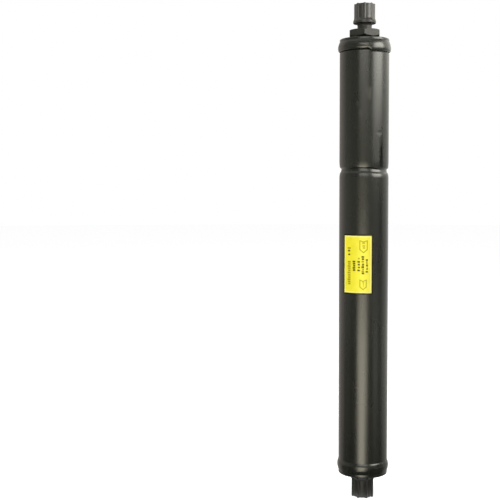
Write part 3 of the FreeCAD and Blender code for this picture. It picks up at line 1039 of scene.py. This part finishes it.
def white_surroundings():
    """White all round to the rays that are seen, and dimmer to those that light."""
    world = bpy.data.worlds.new("white_studio")
    world.use_nodes = True
    tree = world.node_tree
    background = tree.nodes["Background"]
    background.inputs["Color"].default_value = (1, 1, 1, 1)
    level = tree.nodes.new("ShaderNodeMapRange")
    level.inputs["To Min"].default_value = AMBIENT
    level.inputs["To Max"].default_value = 1.0
    tree.links.new(seen_rays(tree), level.inputs["Value"])
    tree.links.new(level.outputs["Result"], background.inputs["Strength"])
    bpy.context.scene.world = world


def reflected_only(stand):
    """A card that gloss mirrors but that neither lights, shades nor shows."""
    stand.visible_camera = False
    stand.visible_diffuse = False
    stand.visible_shadow = False
    stand.visible_transmission = False


def card(name, start, end, first, last, finish):
    """A card bent round the bottle between two angles, from one (radius, height) to another."""
    mesh = bmesh.new()
    turn = math.radians(start)
    ends = [mesh.verts.new((radius * math.sin(turn), -radius * math.cos(turn), height))
            for radius, height in (first, last)]
    edge = mesh.edges.new(ends)
    bmesh.ops.spin(mesh, geom=ends + [edge], cent=(0, 0, 0), axis=(0, 0, 1),
                   angle=math.radians(end - start), steps=max(2, int(abs(end - start) / CARD_TURN)))
    reflected_only(new_object(name, mesh, finish))


def softbox(name, angle, distance, height, side, power, aim):
    """A soft square lamp at an angle from the front, pointed at a height on the axis."""
    lamp = bpy.data.lights.new(name, "AREA")
    lamp.shape = "RECTANGLE"
    lamp.size = side
    lamp.size_y = side
    lamp.energy = power
    stand = bpy.data.objects.new(name, lamp)
    bpy.context.scene.collection.objects.link(stand)
    turn = math.radians(angle)
    stand.location = (distance * math.sin(turn), -distance * math.cos(turn), height)
    view = Vector((0, 0, aim)) - stand.location
    stand.rotation_euler = view.to_track_quat("-Z", "Y").to_euler()
    stand.visible_camera = False
    stand.visible_glossy = False


def studio():
    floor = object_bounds()[0][2] - TABLE_GAP
    white_table(floor)
    white_surroundings()
    for row in (WALL_CARDS, BRIGHT_WALLS):
        for i, (name, start, end, low, high, strengths, colour) in enumerate(row):
            radius = CARD_RADIUS - (CARD_STEP * (i + 1) if row is BRIGHT_WALLS else 0)
            card(name, start, end, (radius, low), (radius, high),
                 glowing(name, False, WALL_REACH, strengths, colour))
    for row in (TABLE_CARDS, BRIGHT_TABLES):
        for i, (name, start, end, strengths, colour) in enumerate(row):
            height = floor + CARD_LIFT * (i + 2 if row is BRIGHT_TABLES else 1)
            inner = BRIGHT_START if row is BRIGHT_TABLES else TABLE_START
            card(name, start, end, (inner, height), (CARD_RADIUS - CARD_LIFT, height),
                 glowing(name, True, TABLE_REACH, strengths, colour))
    for lamp in LAMPS:
        softbox(*lamp)


# Camera

# Its place in metres, its lens and sensor in millimetres, its turns in degrees, and its shift as a
# share of the sensor
CAMERA_PLACE = (0, -1.012, 0.13313)
CAMERA_LENS = 70.63
CAMERA_SENSOR = 36
CAMERA_DOWN = 2.637
CAMERA_LEFT = 6.613
CAMERA_ROLL = -0.035
CAMERA_SHIFT = -0.03


def photo_camera():
    lens = bpy.data.cameras.new("photo_camera")
    lens.lens = CAMERA_LENS
    lens.sensor_width = CAMERA_SENSOR
    lens.shift_y = CAMERA_SHIFT
    lens.dof.use_dof = False
    camera = bpy.data.objects.new("photo_camera", lens)
    camera.location = CAMERA_PLACE
    turn = (Matrix.Rotation(math.radians(CAMERA_LEFT), 3, "Z")
            @ Matrix.Rotation(math.radians(90 - CAMERA_DOWN), 3, "X")
            @ Matrix.Rotation(math.radians(CAMERA_ROLL), 3, "Z"))
    camera.rotation_euler = turn.to_euler()
    bpy.context.scene.collection.objects.link(camera)
    bpy.context.scene.camera = camera


# The bottle in its studio

bpy.context.scene.view_settings.view_transform = "Standard"

shell_paint = black_paint("shell_enamel", peel=0.0012, rough=0.27)
weld_paint = black_paint("weld_enamel", peel=0.004, rough=0.25)
fitting_paint = black_paint("fitting_enamel", peel=0.006, rough=0.52)
plastic = cap_plastic()

shell_tube(shell_paint)
girth_weld("inlet_girth_weld", INLET_BEAD, INLET_BEAD_CROWN, INLET_BEAD_STEP, weld_paint)
girth_weld("outlet_girth_weld", OUTLET_BEAD, OUTLET_BEAD_CROWN, OUTLET_BEAD_STEP, weld_paint)
end_cap("inlet_end_cap", "inlet_girth_weld", INLET_FACE, 1, INLET_END_ROUND, shell_paint)
end_cap("outlet_end_cap", "outlet_girth_weld", OUTLET_FACE, -1, OUTLET_END_ROUND, shell_paint)
fitting_weld("inlet_fitting_weld", INLET_FACE, 1, weld_paint)
fitting_weld("outlet_fitting_weld", OUTLET_FACE, -1, weld_paint)
inlet_fitting(fitting_paint)
outlet_fitting(fitting_paint)
dust_cap("inlet_dust_cap", INLET, INLET_FACE, 1, plastic, "inlet_cap")
dust_cap("outlet_dust_cap", OUTLET, OUTLET_FACE, -1, plastic, "outlet_cap")
label_film(yellow_film())
# Painted shadow: a dark band round the film's edge, on the paint
printed("label_edge_shadow", ink("edge_shadow_ink", EDGE_SHADOW_INK, wear=0.01),
        frame_line(-EDGE_LINE, EDGE_LINE), under=0)
printed("label_arrows", ink("arrow_ink", ARROW_INK), arrows)
printed("label_faint_bars", ink("faint_ink", FAINT_INK), bars(FAINT_BARS))
# Painted highlight: a pale band just inside the film's edge
printed("label_edge_highlight", ink("edge_highlight_ink", EDGE_HIGHLIGHT_INK),
        frame_line(EDGE_HIGHLIGHT_INSET, EDGE_LINE))
printed("label_dark_bars", ink("dark_ink", DARK_INK, wear=0.1), bars(DARK_BARS))
printed("label_pale_bars", ink("pale_ink", PALE_INK), bars(PALE_BARS))

refinish(dull("seal_rubber", RUBBER, size=0.5, rough=0.7, depth=0.02),
         "inlet_cap_seal", "outlet_cap_seal")
refinish(metal("punched_plate_steel", PLATE_STEEL, size=1.5, rough=0.35),
         "upper_perforated_plate", "lower_perforated_plate")
refinish(metal("strainer_brass", STRAINER_BRASS, size=2.0, rough=0.32),
         "outlet_strainer", "mesh_screen")
refinish(metal("spring_wire", SPRING_STEEL, size=0.8, rough=0.28), "compression_spring")
refinish(dull("pressed_felt", FELT, size=0.6, rough=0.9, depth=0.2),
         "upper_felt_pad", "lower_felt_pad")
refinish(bead_finish(), "desiccant_bed")

studio()
photo_camera()
